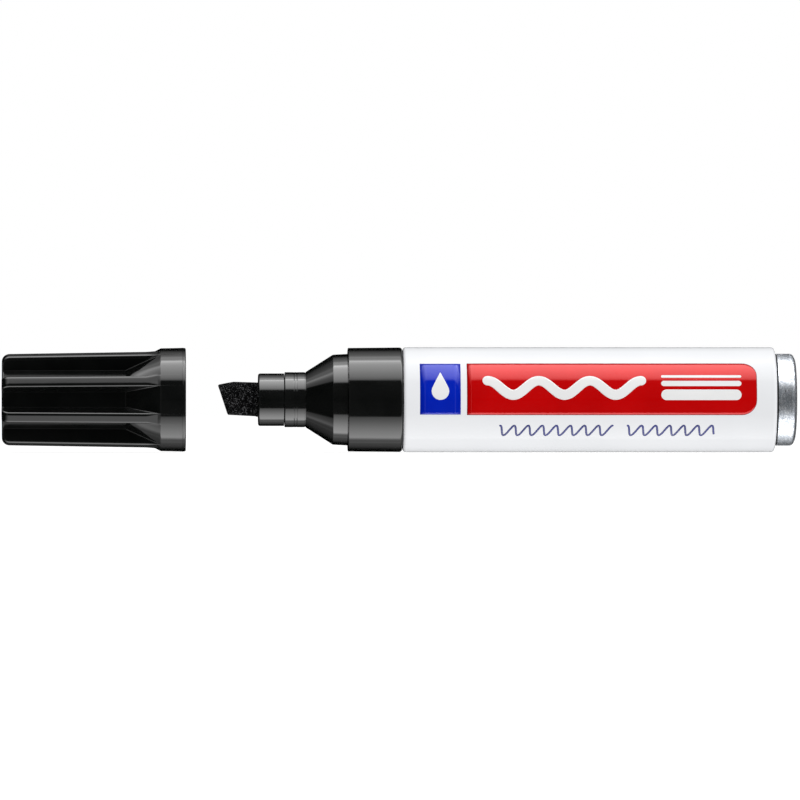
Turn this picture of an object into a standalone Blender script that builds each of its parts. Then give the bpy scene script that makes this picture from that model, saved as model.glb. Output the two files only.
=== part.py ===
"""Felt tip marker with its cap pulled off, for Blender 4.5.

A lacquered aluminium can holds a film-wrapped fibre reservoir. A black front section, sealed and
rolled into the can's mouth, carries a collar, a nib sleeve and a flat chisel nib of felt. The fluted
push-on cap has a soft inner cap that seals round the front section's nose.

The marker lies along X with its nib towards -X, Z is up, and z = 0 is the surface it lies on.
Stations are measured along the axis, from the collar's front face on the marker and from the open
rim on the cap, and grow towards the rear. Radii of round pieces are those of their flats.
"""

import math

import bmesh
import bpy
from mathutils import Vector

MM = 0.001

# Barrel: a can closed at the rear, with a necked rear end and a mouth rolled inwards.
BARREL_RADIUS = 10.5 * MM
BARREL_FRONT = 10.95 * MM
BARREL_SHOULDER = 85.4 * MM
BARREL_REAR = 89.5 * MM
BARREL_WALL = 0.5 * MM
REAR_RADIUS = 9.2 * MM
REAR_BEND = 1.5 * MM
SHOULDER_BEND = 1.25 * MM
LIP_RADIUS = 9.1 * MM
LIP_BEND = 1.1 * MM

# Front section, from the nose to the spigot inside the barrel.
LAND_FRONT = -12.65 * MM
LAND_REAR = -8.5 * MM
LAND_RADIUS = 5.5 * MM
CONE_REAR = -3.0 * MM
CONE_RADIUS = 9.0 * MM
NECK_RADIUS = 9.1 * MM
COLLAR_SEAT_RADIUS = 8.9 * MM
SPIGOT_FRONT = 13.3 * MM
SPIGOT_REAR = 24.0 * MM
SPIGOT_RADIUS = 9.3 * MM
SPIGOT_RIB_RADIUS = 9.85 * MM
SPIGOT_RIB_WIDTH = 1.0 * MM
SPIGOT_RIB_SPACING = 3.8 * MM
SPIGOT_RIBS = 3
SECTION_WALL = 1.5 * MM

# Collar, pushed on behind the neck.
COLLAR_LENGTH = 10.85 * MM
COLLAR_FRONT_RADIUS = 10.35 * MM
COLLAR_REAR_RADIUS = 10.45 * MM

# Nib sleeve: the head shows in front of the nose, the shank is pressed inside it.
SLEEVE_FRONT = -17.95 * MM
SLEEVE_REAR = -5.0 * MM
SLEEVE_RADIUS = 5.25 * MM
SHANK_RADIUS = 4.4 * MM

# Felt nib: a flat bar with a slanted writing edge in front and a blunt point behind.
NIB_TIP = -26.0 * MM
NIB_HEEL = -24.05 * MM
NIB_HEEL_BEVEL = 0.5 * MM
NIB_CREST = -22.7 * MM
NIB_EDGE_HALF_HEIGHT = 2.95 * MM
NIB_REAR = 14.0 * MM
NIB_HALF_HEIGHT = 3.42 * MM
NIB_THICKNESS = 3.2 * MM
NIB_SWELL = 0.15 * MM
VENT_WIDTH = 1.4 * MM
VENT_DEPTH = 0.7 * MM

# Ink reservoir: a fibre stick in a film sleeve.
RESERVOIR_FRONT = 2.3 * MM
RESERVOIR_REAR = 88.0 * MM
FILM_RADIUS = 8.0 * MM
FILM_THICKNESS = 0.2 * MM
NIB_POCKET_DEPTH = 12.4 * MM

# Cap: measured from its rim, so its stations are negative.
CAP_LENGTH = 36.7 * MM
CAP_TRAVEL = 32.4 * MM
RIM_RADIUS = 10.36 * MM
RIM_LENGTH = 5.0 * MM
RIM_STEP = 0.4 * MM
RIB_FRONT_RADIUS = 9.63 * MM
RIB_REAR_RADIUS = 10.18 * MM
RIB_COUNT = 8
RIB_HALF_THICKNESS = 1.13 * MM
GROOVE_FLOOR = 6.75 * MM
RAMP_LENGTH = 6.6 * MM
RAMP_TOP = 9.65 * MM
CAP_END_WALL = 1.5 * MM
RIM_BORE = 9.2 * MM
RIM_BORE_FRONT = -3.3 * MM
CAP_BORE = 6.1 * MM
CAP_BORE_REAR = -8.8 * MM

# Inner cap: a cup inside the cap's bore, its mouth towards the rim.
INNER_CAP_MOUTH = -9.1 * MM
INNER_CAP_END = -28.6 * MM
INNER_CAP_RADIUS = 6.0 * MM
INNER_CAP_BORE = 5.55 * MM

# Clearances between neighbours, and the roundness of turned pieces.
SNUG = 0.1 * MM
LOOSE = 0.3 * MM
SEGMENTS = 32
FILLET_STEPS = 3
MERGE = 0.005 * MM
SHARP_ANGLE = math.radians(35)
CUTTER_MARGIN = 5.0 * MM

# The bounding box is centred on X = 0, and the barrel lies on z = 0.
COLLAR_X = (CAP_TRAVEL + CAP_LENGTH - BARREL_REAR) / 2
RIM_X = COLLAR_X - CAP_TRAVEL
AXIS_HEIGHT = BARREL_RADIUS


def material(name, colour, roughness, metallic=0.0):
    """A plain Principled material."""
    made = bpy.data.materials.new(name)
    made.use_nodes = True
    shader = made.node_tree.nodes["Principled BSDF"]
    shader.inputs["Base Color"].default_value = (*colour, 1.0)
    shader.inputs["Roughness"].default_value = roughness
    shader.inputs["Metallic"].default_value = metallic
    made.diffuse_color = (*colour, 1.0)
    return made


def collection(name):
    made = bpy.data.collections.new(name)
    bpy.context.scene.collection.children.link(made)
    return made


def anchor(name, station_x, group):
    """An empty on the marker's axis, which the pieces of one body are placed by."""
    empty = bpy.data.objects.new(name, None)
    empty.empty_display_size = BARREL_RADIUS
    empty.location = (station_x, 0, AXIS_HEIGHT)
    group.objects.link(empty)
    return empty


def rounded(corners, closed):
    """Replaces each corner (station, radius, fillet) that has a fillet by an arc."""
    places = [Vector((station, radius)) for station, radius, _ in corners]
    points = []
    for index, (_, _, fillet) in enumerate(corners):
        here = places[index]
        at_end = not closed and index in (0, len(corners) - 1)
        if at_end or not fillet:
            points.append(here)
            continue
        to_last = (places[index - 1] - here).normalized()
        to_next = (places[(index + 1) % len(places)] - here).normalized()
        half_angle = to_last.angle(to_next) / 2
        centre = here + (to_last + to_next).normalized() * fillet / math.sin(half_angle)
        start = here + to_last * fillet / math.tan(half_angle) - centre
        end = here + to_next * fillet / math.tan(half_angle) - centre
        sweep = math.pi - 2 * half_angle
        for step in range(FILLET_STEPS + 1):
            part = step / FILLET_STEPS
            mix = start * math.sin((1 - part) * sweep) + end * math.sin(part * sweep)
            points.append(centre + mix / math.sin(sweep))
    return points


def turned(name, corners, group, parent, closed=True):
    """Turns an outline round the marker's axis.

    The outline runs along the outside from rear to front and back along the inside. An open outline
    starts and ends on the axis. Flats, not edges, face down, so that the piece can lie on one.
    """
    half_step = math.pi / SEGMENTS
    mesh = bpy.data.meshes.new(name)
    points = []
    for station, radius in rounded(corners, closed):
        edge_radius = radius / math.cos(half_step)
        edge_x, edge_y = edge_radius * math.cos(half_step), edge_radius * math.sin(half_step)
        points.append((edge_x, edge_y, station))
    edges = [(i, i + 1) for i in range(len(points) - 1)]
    if closed:
        edges.append((len(points) - 1, 0))
    mesh.from_pydata(points, edges, [])
    piece = bpy.data.objects.new(name, mesh)
    piece.rotation_euler = (0, math.pi / 2, 0)
    piece.parent = parent
    group.objects.link(piece)
    screw = piece.modifiers.new("turn", "SCREW")
    screw.axis = "Z"
    screw.angle = 2 * math.pi
    screw.steps = screw.render_steps = SEGMENTS
    screw.use_merge_vertices = True
    screw.merge_threshold = MERGE
    return piece


def cutter(name, bm, group, parent):
    """Turns a bmesh into a hidden cutter."""
    mesh = bpy.data.meshes.new(name)
    bm.to_mesh(mesh)
    bm.free()
    tool = bpy.data.objects.new(name, mesh)
    tool.parent = parent
    tool.hide_render = True
    tool.display_type = "WIRE"
    group.objects.link(tool)
    return tool


def box_cutter(name, front, rear, height, thickness, group, parent):
    """A box along the axis between two stations."""
    bm = bmesh.new()
    bmesh.ops.create_cube(bm, size=1)
    bmesh.ops.scale(bm, vec=(rear - front, thickness, height), verts=bm.verts)
    bmesh.ops.translate(bm, vec=((front + rear) / 2, 0, 0), verts=bm.verts)
    return cutter(name, bm, group, parent)


def cut(piece, tool):
    boolean = piece.modifiers.new("cut " + tool.name, "BOOLEAN")
    boolean.operation = "DIFFERENCE"
    boolean.solver = "EXACT"
    boolean.object = tool


def finish(piece, look):
    """Applies the modifiers, shades the round faces smooth and gives the piece its material."""
    depsgraph = bpy.context.evaluated_depsgraph_get()
    mesh = bpy.data.meshes.new_from_object(piece.evaluated_get(depsgraph))
    mesh.name = piece.name
    piece.modifiers.clear()
    piece.data = mesh
    mesh.shade_smooth()
    mesh.set_sharp_from_angle(angle=SHARP_ANGLE)
    mesh.materials.clear()
    mesh.materials.append(look)


def make_barrel(group, parent):
    inner_radius = BARREL_RADIUS - BARREL_WALL
    rear_bore = REAR_RADIUS - BARREL_WALL
    corners = [
        (BARREL_REAR, 0, 0),
        (BARREL_REAR, REAR_RADIUS, REAR_BEND),
        (BARREL_SHOULDER, REAR_RADIUS, 0),
        (BARREL_SHOULDER, BARREL_RADIUS, SHOULDER_BEND),
        (BARREL_FRONT, BARREL_RADIUS, LIP_BEND),
        (BARREL_FRONT, LIP_RADIUS, 0),
        (BARREL_FRONT + BARREL_WALL, LIP_RADIUS, 0),
        (BARREL_FRONT + BARREL_WALL, inner_radius, LIP_BEND - BARREL_WALL),
        (BARREL_SHOULDER - BARREL_WALL, inner_radius, SHOULDER_BEND - BARREL_WALL),
        (BARREL_SHOULDER - BARREL_WALL, rear_bore, 0),
        (BARREL_REAR - BARREL_WALL, rear_bore, REAR_BEND - BARREL_WALL),
        (BARREL_REAR - BARREL_WALL, 0, 0),
    ]
    piece = turned("barrel", corners, group, parent, closed=False)
    finish(piece, material("white_lacquer", (0.86, 0.86, 0.85), 0.25))


def make_barrel_seal(group, parent):
    front = BARREL_FRONT + BARREL_WALL + LOOSE
    rear = SPIGOT_FRONT - LOOSE
    outer = BARREL_RADIUS - BARREL_WALL - SNUG
    inner = COLLAR_SEAT_RADIUS + SNUG
    corners = [(rear, outer, 0), (front, outer, 0), (front, inner, 0), (rear, inner, 0)]
    piece = turned("barrel_seal", corners, group, parent)
    finish(piece, material("seal_rubber", (0.55, 0.54, 0.5), 0.7))


def spigot_outline():
    """The ribbed outside of the spigot, from its rear end to its front shoulder."""
    corners = [(SPIGOT_REAR, SPIGOT_RADIUS, 0)]
    for index in reversed(range(SPIGOT_RIBS)):
        front = SPIGOT_FRONT + index * SPIGOT_RIB_SPACING
        rear = front + SPIGOT_RIB_WIDTH
        corners.append((rear, SPIGOT_RADIUS, 0))
        corners.append((rear, SPIGOT_RIB_RADIUS, 0))
        corners.append((front, SPIGOT_RIB_RADIUS, 0))
        if index:
            corners.append((front, SPIGOT_RADIUS, 0))
    return corners


def make_front_section(group, parent):
    nose_bore = SHANK_RADIUS + SNUG
    reservoir_bore = FILM_RADIUS + SNUG
    shoulder_bore = reservoir_bore - 2 * SNUG
    cone_slope = (CONE_RADIUS - LAND_RADIUS) / (CONE_REAR - LAND_REAR)
    inside_front = LAND_REAR + (nose_bore + SECTION_WALL - LAND_RADIUS) / cone_slope
    inside_rear = CONE_REAR + (shoulder_bore + SECTION_WALL - CONE_RADIUS) / cone_slope
    corners = spigot_outline() + [
        (SPIGOT_FRONT, COLLAR_SEAT_RADIUS, 0),
        (-SNUG, COLLAR_SEAT_RADIUS, 0),
        (-SNUG, NECK_RADIUS, 0),
        (CONE_REAR, CONE_RADIUS, 0),
        (LAND_REAR, LAND_RADIUS, 0),
        (LAND_FRONT, LAND_RADIUS, 0.15 * MM),
        (LAND_FRONT, nose_bore, 0),
        (inside_front, nose_bore, 0),
        (inside_rear, shoulder_bore, 0),
        (RESERVOIR_FRONT - LOOSE, shoulder_bore, 0),
        (RESERVOIR_FRONT - LOOSE, reservoir_bore, 0),
        (SPIGOT_REAR, reservoir_bore, 0),
    ]
    piece = turned("front_section", corners, group, parent)
    finish(piece, material("section_plastic", (0.012, 0.012, 0.013), 0.25))


def make_collar(group, parent):
    inner = COLLAR_SEAT_RADIUS + SNUG
    corners = [
        (COLLAR_LENGTH, COLLAR_REAR_RADIUS, 0.5 * MM),
        (0, COLLAR_FRONT_RADIUS, 0.15 * MM),
        (0, inner, 0),
        (COLLAR_LENGTH, inner, 0),
    ]
    piece = turned("collar", corners, group, parent)
    finish(piece, material("collar_plastic", (0.012, 0.012, 0.013), 0.22))


def make_nib_sleeve(group, tools, parent):
    shoulder = LAND_FRONT - SNUG
    corners = [
        (SLEEVE_REAR, 0, 0),
        (SLEEVE_REAR, SHANK_RADIUS, 0.4 * MM),
        (shoulder, SHANK_RADIUS, 0),
        (shoulder, SLEEVE_RADIUS, 0.1 * MM),
        (SLEEVE_FRONT, SLEEVE_RADIUS, 0.4 * MM),
        (SLEEVE_FRONT, 0, 0),
    ]
    piece = turned("nib_sleeve", corners, group, parent, closed=False)
    front, rear = SLEEVE_FRONT - CUTTER_MARGIN, SLEEVE_REAR + CUTTER_MARGIN
    height = 2 * (NIB_HALF_HEIGHT + SNUG)
    thickness = NIB_THICKNESS + 2 * SNUG
    slot = box_cutter("nib_slot", front, rear, height, thickness, tools, parent)
    vents = box_cutter("nib_vents", front, rear, VENT_WIDTH, thickness + 2 * VENT_DEPTH, tools, parent)
    cut(piece, slot)
    cut(piece, vents)
    finish(piece, material("sleeve_plastic", (0.012, 0.012, 0.013), 0.28))


def make_felt_nib(group, parent):
    """A flat outline in the marker's vertical plane, as thick as the bar of felt."""
    swollen = NIB_HALF_HEIGHT + NIB_SWELL
    point_length = 2.0 * MM
    point_height = 1.2 * MM
    outline = [
        (NIB_TIP, NIB_EDGE_HALF_HEIGHT),
        (NIB_CREST, swollen),
        (SLEEVE_FRONT - LOOSE, NIB_HALF_HEIGHT),
        (NIB_REAR - point_length, NIB_HALF_HEIGHT),
        (NIB_REAR, point_height),
        (NIB_REAR, -point_height),
        (NIB_REAR - point_length, -NIB_HALF_HEIGHT),
        (SLEEVE_FRONT - LOOSE, -NIB_HALF_HEIGHT),
        (NIB_HEEL + NIB_HEEL_BEVEL, -NIB_HALF_HEIGHT),
        (NIB_HEEL, -NIB_EDGE_HALF_HEIGHT),
    ]
    curve = bpy.data.curves.new("felt_nib", "CURVE")
    curve.dimensions = "2D"
    curve.fill_mode = "BOTH"
    curve.extrude = NIB_THICKNESS / 2
    spline = curve.splines.new("POLY")
    spline.points.add(len(outline) - 1)
    for point, (station, height) in zip(spline.points, outline):
        point.co = (station, height, 0, 1)
    spline.use_cyclic_u = True
    piece = bpy.data.objects.new("felt_nib", curve)
    piece.rotation_euler = (math.pi / 2, 0, 0)
    piece.parent = parent
    group.objects.link(piece)
    curve.materials.append(material("inked_felt", (0.012, 0.012, 0.012), 0.95))


def make_reservoir(group, tools, parent):
    fibre_radius = FILM_RADIUS - FILM_THICKNESS - SNUG
    corners = [
        (RESERVOIR_REAR, 0, 0),
        (RESERVOIR_REAR, fibre_radius, 0),
        (RESERVOIR_FRONT, fibre_radius, 0),
        (RESERVOIR_FRONT, 0, 0),
    ]
    fibre = turned("ink_reservoir", corners, group, parent, closed=False)
    pocket = box_cutter(
        "nib_pocket",
        RESERVOIR_FRONT - CUTTER_MARGIN,
        RESERVOIR_FRONT + NIB_POCKET_DEPTH,
        2 * (NIB_HALF_HEIGHT + LOOSE),
        NIB_THICKNESS + 2 * LOOSE,
        tools,
        parent,
    )
    cut(fibre, pocket)
    finish(fibre, material("inked_fibre", (0.03, 0.03, 0.035), 0.9))

    film_bore = FILM_RADIUS - FILM_THICKNESS
    corners = [
        (RESERVOIR_REAR, FILM_RADIUS, 0),
        (RESERVOIR_FRONT, FILM_RADIUS, 0),
        (RESERVOIR_FRONT, film_bore, 0),
        (RESERVOIR_REAR, film_bore, 0),
    ]
    film = turned("reservoir_film", corners, group, parent)
    finish(film, material("film", (0.75, 0.76, 0.78), 0.2))


def groove_half_width(height):
    """Half the width between two ribs, whose sides stay parallel to their own middle planes."""
    half_pitch = math.pi / RIB_COUNT
    return height * math.tan(half_pitch) - RIB_HALF_THICKNESS / math.cos(half_pitch)


def groove_cutters(tools, parent):
    """The grooves between the ribs: flat floors that rise on ramps to a step in front of the rim."""
    closed_end = -(CAP_LENGTH + CUTTER_MARGIN)
    ramp_end = -(RIM_LENGTH + RIM_STEP)
    step_slope = (RIM_RADIUS - RAMP_TOP) / RIM_STEP
    profile = [
        (closed_end, GROOVE_FLOOR),
        (ramp_end - RAMP_LENGTH, GROOVE_FLOOR),
        (ramp_end, RAMP_TOP),
        (ramp_end + CUTTER_MARGIN / step_slope, RAMP_TOP + CUTTER_MARGIN),
        (closed_end, RAMP_TOP + CUTTER_MARGIN),
    ]
    bm = bmesh.new()
    for station, height in profile:
        side = groove_half_width(height)
        bm.verts.new((station, side, height))
        bm.verts.new((station, -side, height))
    bmesh.ops.convex_hull(bm, input=bm.verts[:])
    pitch = 2 * math.pi / RIB_COUNT
    bmesh.ops.spin(
        bm,
        geom=bm.verts[:] + bm.edges[:] + bm.faces[:],
        cent=(0, 0, 0),
        axis=(1, 0, 0),
        angle=pitch * (RIB_COUNT - 1),
        steps=RIB_COUNT - 1,
        use_duplicate=True,
    )
    return cutter("cap_grooves", bm, tools, parent)


def make_cap_shell(group, tools, parent):
    bore_end = CAP_END_WALL - CAP_LENGTH
    corners = [
        (bore_end, 0, 0),
        (bore_end, CAP_BORE, 0),
        (CAP_BORE_REAR, CAP_BORE, 0),
        (RIM_BORE_FRONT, RIM_BORE, 0),
        (0, RIM_BORE, 0),
        (0, RIM_RADIUS, 0.3 * MM),
        (-RIM_LENGTH, RIM_RADIUS, 0),
        (-RIM_LENGTH - LOOSE, RIB_REAR_RADIUS, 0),
        (-CAP_LENGTH, RIB_FRONT_RADIUS, 0.9 * MM),
        (-CAP_LENGTH, 0, 0),
    ]
    piece = turned("cap_shell", corners, group, parent, closed=False)
    cut(piece, groove_cutters(tools, parent))
    finish(piece, material("cap_plastic", (0.011, 0.011, 0.012), 0.22))


def make_inner_cap(group, parent):
    end_wall = INNER_CAP_RADIUS - INNER_CAP_BORE
    corners = [
        (INNER_CAP_END + end_wall, 0, 0),
        (INNER_CAP_END + end_wall, INNER_CAP_BORE, 0),
        (INNER_CAP_MOUTH, INNER_CAP_BORE, 0),
        (INNER_CAP_MOUTH, INNER_CAP_RADIUS, 0),
        (INNER_CAP_END, INNER_CAP_RADIUS, 0),
        (INNER_CAP_END, 0, 0),
    ]
    piece = turned("inner_cap", corners, group, parent, closed=False)
    finish(piece, material("soft_plastic", (0.6, 0.6, 0.58), 0.4))


def main():
    for old in list(bpy.data.objects):
        bpy.data.objects.remove(old)
    parts = collection("felt_tip_marker")
    tools = collection("cutters")
    marker = anchor("marker_axis", COLLAR_X, parts)
    cap = anchor("cap_axis", RIM_X, parts)
    make_barrel(parts, marker)
    make_barrel_seal(parts, marker)
    make_front_section(parts, marker)
    make_collar(parts, marker)
    make_nib_sleeve(parts, tools, marker)
    make_felt_nib(parts, marker)
    make_reservoir(parts, tools, marker)
    make_cap_shell(parts, tools, cap)
    make_inner_cap(parts, cap)


main()
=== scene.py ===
"""Looks of the felt tip marker: fine meshes round the CAD frame, materials, stage, light and camera."""

import math

import bmesh
import bpy
import numpy as np
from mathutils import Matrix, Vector


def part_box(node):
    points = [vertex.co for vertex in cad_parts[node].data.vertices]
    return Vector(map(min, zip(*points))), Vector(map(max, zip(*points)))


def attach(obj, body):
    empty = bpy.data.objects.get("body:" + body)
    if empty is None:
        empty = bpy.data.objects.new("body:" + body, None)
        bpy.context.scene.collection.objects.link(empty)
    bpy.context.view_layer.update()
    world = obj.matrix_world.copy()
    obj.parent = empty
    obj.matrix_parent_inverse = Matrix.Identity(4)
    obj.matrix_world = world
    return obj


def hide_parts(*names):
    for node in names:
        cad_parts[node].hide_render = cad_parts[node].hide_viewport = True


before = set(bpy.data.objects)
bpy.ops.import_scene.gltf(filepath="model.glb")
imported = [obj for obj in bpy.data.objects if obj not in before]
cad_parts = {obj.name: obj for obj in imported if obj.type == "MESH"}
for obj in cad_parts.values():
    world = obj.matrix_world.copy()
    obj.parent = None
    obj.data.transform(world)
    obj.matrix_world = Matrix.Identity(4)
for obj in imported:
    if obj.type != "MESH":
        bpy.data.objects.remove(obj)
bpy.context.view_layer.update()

MM = 0.001
AROUND = 192
SHARP_ANGLE = math.radians(40)

# Where the CAD frame puts the marker: stations below are in millimetres along the axis, from the
# collar's front face for the marker and from the open rim for the cap.
barrel_low, barrel_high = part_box("barrel")
AXIS_Z = (barrel_low.z + barrel_high.z) / 2
BARREL_RADIUS = (barrel_high.y - barrel_low.y) / 2 / MM
COLLAR_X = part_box("collar")[0].x
RIM_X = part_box("cap_shell")[1].x
BARREL_REAR = (barrel_high.x - COLLAR_X) / MM
CAP_LENGTH = (RIM_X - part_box("cap_shell")[0].x) / MM

# Barrel. Its rear end has a shallow dish inside a narrow foot.
BARREL_FRONT = 10.95
BARREL_SHOULDER = 85.4
BARREL_WALL = 0.5
REAR_RADIUS = 9.2
LIP_RADIUS = 9.1
LIP_BEND = 1.35
SHOULDER_BEND = 1.25
REAR_BEND = 1.25
DISH_DEPTH, DISH_RADIUS, FOOT_RADIUS = 0.35, 5.4, 6.3
SEAM_WIDTH, SEAM_DEPTH = 0.36, 0.2

# Front section, collar and nib sleeve.
LAND_FRONT, LAND_REAR, LAND_RADIUS = -12.65, -8.5, 5.5
LAND_RINGS, RING_DEPTH = (-10.2, -10.75), 0.05
CONE_REAR, CONE_RADIUS = -3.0, 9.0
NECK_RADIUS = 9.15
SEAT_RADIUS = 8.9
SPIGOT_FRONT, SPIGOT_REAR, SPIGOT_RADIUS = 13.3, 24.0, 9.85
SECTION_BORE = 8.1
COLLAR_LENGTH, COLLAR_FRONT_RADIUS, COLLAR_REAR_RADIUS = 10.85, 10.35, 10.45
SLEEVE_FRONT, SLEEVE_REAR, SLEEVE_RADIUS = -17.95, -5.0, 5.25
SHANK_RADIUS = 4.4

# Felt nib, and the slot that holds it with its vents.
NIB_TIP, NIB_HEEL, NIB_CREST, NIB_REAR = -26.0, -24.0, -22.7, 14.0
NIB_THICKNESS, NIB_HALF_HEIGHT = 3.2, 3.42
NIB_CORNER, NIB_ROUNDING = 0.42, 0.35
SLOT_HALF_THICKNESS, SLOT_HALF_HEIGHT = NIB_THICKNESS / 2 + 0.1, NIB_HALF_HEIGHT + 0.1
VENT_HALF_WIDTH, VENT_REACH = 0.7, 2.4

# Cap, outside. The closed end is its front, and the ribs end where the rim begins.
RIB_COUNT = 8
RIB_HALF_THICKNESS = 1.13
RIB_EDGE = 0.58
RIB_FRONT_RADIUS, RIB_REAR_RADIUS, RIB_CHAMFER = 9.63, 10.15, 0.65
GROOVE_EDGE = 0.2
CORE_RADIUS = 6.75
RAMP_FRONT, RIM_FRONT = -12.0, -5.0
RAMP_ROUND_AT = -5.2
RIM_RADIUS = 10.36
BEAD_FRONT, BEAD_HEIGHT = -1.0, 0.03
CAP_END_EDGE, CORE_END_EDGE = 1.55, 0.45

# Cap, inside, and the inner cap.
MOUTH_FRONT, MOUTH_RADIUS = -3.3, 9.2
CAP_BORE_REAR, CAP_BORE_RADIUS = -8.8, 6.1
CAP_END_WALL = 1.5
CUP_FRONT, CUP_REAR, CUP_RADIUS, CUP_WALL = -28.6, -9.1, 6.0, 0.45

# Print on the barrel: stations, and heights round it from the line that faces the camera.
PRINT_THICKNESS, PRINT_STEP = 0.02, 1.2
PRINT_TOP, PRINT_BOTTOM = 7.85, -3.0
PRINT_MIDDLE = (PRINT_TOP + PRINT_BOTTOM) / 2
BLOCK_FRONT, BLOCK_REAR = 14.15, 22.25
INK_DROP_RADIUS, INK_DROP_BELOW_MIDDLE = 1.75, 0.7
PANEL_FRONT, PANEL_REAR, PANEL_CORNER, PANEL_EDGE = 23.6, 81.2, 2.9, 0.1
WAVE_FRONT, WAVE_REAR, WAVE_SWING, WAVE_PERIOD, WAVE_WIDTH = 27.6, 58.2, 1.45, 10.2, 2.0
BARS_FRONT, BARS_REAR = 62.2, 78.2
BARS = ((2.35, 0.55), (0.85, 1.1), (-1.45, 2.1))  # (height above the middle, thickness)
FINE_LINES = ((29.8, 52.2), (55.2, 73.0))
FINE_HEIGHT, FINE_SWING, FINE_PERIOD, FINE_LEAN, FINE_WIDTH = -6.6, 1.2, 2.8, 0.3, 0.4


# ---------------------------------------------------------------- outlines and meshes


def fillet(before, here, after, radius, steps):
    """The points of an arc that rounds the corner at here, or the corner itself."""
    to_before, to_after = before - here, after - here
    shortest = min(to_before.length, to_after.length)
    to_before.normalize()
    to_after.normalize()
    half_angle = to_before.angle(to_after) / 2
    if radius <= 0 or half_angle > math.radians(89):
        return [here]
    radius = min(radius, 0.49 * shortest * math.tan(half_angle))
    centre = here + (to_before + to_after).normalized() * radius / math.sin(half_angle)
    start = here + to_before * radius / math.tan(half_angle) - centre
    end = here + to_after * radius / math.tan(half_angle) - centre
    sweep = math.pi - 2 * half_angle
    points = []
    for step in range(steps + 1):
        part = step / steps
        mix = start * math.sin((1 - part) * sweep) + end * math.sin(part * sweep)
        points.append(centre + mix / math.sin(sweep))
    return points


def outline(corners, closed, longest=2.0, support=0.06, steps=7):
    """Rounds the corners (station, radius, fillet) and puts extra points on the straight stretches.

    The points close to a corner keep the shading of the flat stretches flat.
    """
    places = [Vector((station, radius)) for station, radius, _ in corners]
    rounded = []
    for index, (_, _, radius) in enumerate(corners):
        if not closed and index in (0, len(corners) - 1):
            rounded.append(places[index])
            continue
        after = places[(index + 1) % len(places)]
        rounded += fillet(places[index - 1], places[index], after, radius, steps)
    points = []
    count = len(rounded)
    for index in range(count if closed else count - 1):
        start, end = rounded[index], rounded[(index + 1) % count]
        length = (end - start).length
        points.append(start)
        if length < 4 * support:
            continue
        middle = max(1, math.ceil((length - 2 * support) / longest))
        for step in range(middle + 1):
            reach = support + (length - 2 * support) * step / middle
            points.append(start.lerp(end, reach / length))
    if not closed:
        points.append(rounded[-1])
    return points


def place(base_x, station, radius, angle):
    """A point round the axis: angle 0 faces the camera's side, -Y, and 90 degrees is up."""
    return (
        base_x + station * MM,
        -radius * MM * math.cos(angle),
        AXIS_Z + radius * MM * math.sin(angle),
    )


def solid(name, rings, closed=False):
    """A closed mesh through rings of points. An open row of rings gets a middle point at each end."""
    around = len(rings[0])
    verts = [point for ring in rings for point in ring]
    faces = []
    for row in range(len(rings) if closed else len(rings) - 1):
        first, second = row * around, (row + 1) % len(rings) * around
        for i in range(around):
            j = (i + 1) % around
            faces.append((first + i, first + j, second + j, second + i))
    if not closed:
        for row in (0, len(rings) - 1):
            middle = len(verts)
            verts.append(tuple(np.mean(rings[row], axis=0)))
            start = row * around
            faces += [(start + i, start + (i + 1) % around, middle) for i in range(around)]
    mesh = bpy.data.meshes.new(name)
    mesh.from_pydata(verts, [], faces)
    bm = bmesh.new()
    bm.from_mesh(mesh)
    bmesh.ops.recalc_face_normals(bm, faces=bm.faces)
    bm.to_mesh(mesh)
    bm.free()
    mesh.shade_smooth()
    mesh.set_sharp_from_angle(angle=SHARP_ANGLE)
    piece = bpy.data.objects.new(name, mesh)
    bpy.context.scene.collection.objects.link(piece)
    return piece


def circle(base_x, station, radius, angles):
    """A ring of points round the axis."""
    return [place(base_x, station, radius, angle) for angle in angles]


def turned(name, base_x, corners, closed=True, **detail):
    """A turned piece. An open outline starts and ends near the axis, where a middle point closes it."""
    angles = np.linspace(0, 2 * math.pi, AROUND, endpoint=False)
    points = outline(corners, closed, **detail)
    return solid(name, [circle(base_x, p.x, p.y, angles) for p in points], closed)


def settle(piece, body, node, slot, *materials):
    """Gives a piece its materials and its body, and hides the CAD node it stands for. The slot is not used.
    """
    for look in materials:
        piece.data.materials.append(look)
    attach(piece, body)
    if node:
        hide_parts(node)
    return piece


# ---------------------------------------------------------------- materials


class Nodes:
    """A node tree with a few helpers that read as one line each."""

    def __init__(self, tree):
        self.tree = tree

    def node(self, kind, **settings):
        made = self.tree.nodes.new(kind)
        for key, value in settings.items():
            setattr(made, key, value)
        return made

    def link(self, value, socket):
        """Feeds a socket from another one, or sets it to a number."""
        if isinstance(value, (int, float)):
            socket.default_value = value
        else:
            self.tree.links.new(value, socket)

    def maths(self, operation, *values):
        made = self.node("ShaderNodeMath", operation=operation)
        for value, socket in zip(values, made.inputs):
            self.link(value, socket)
        return made.outputs[0]


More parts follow.
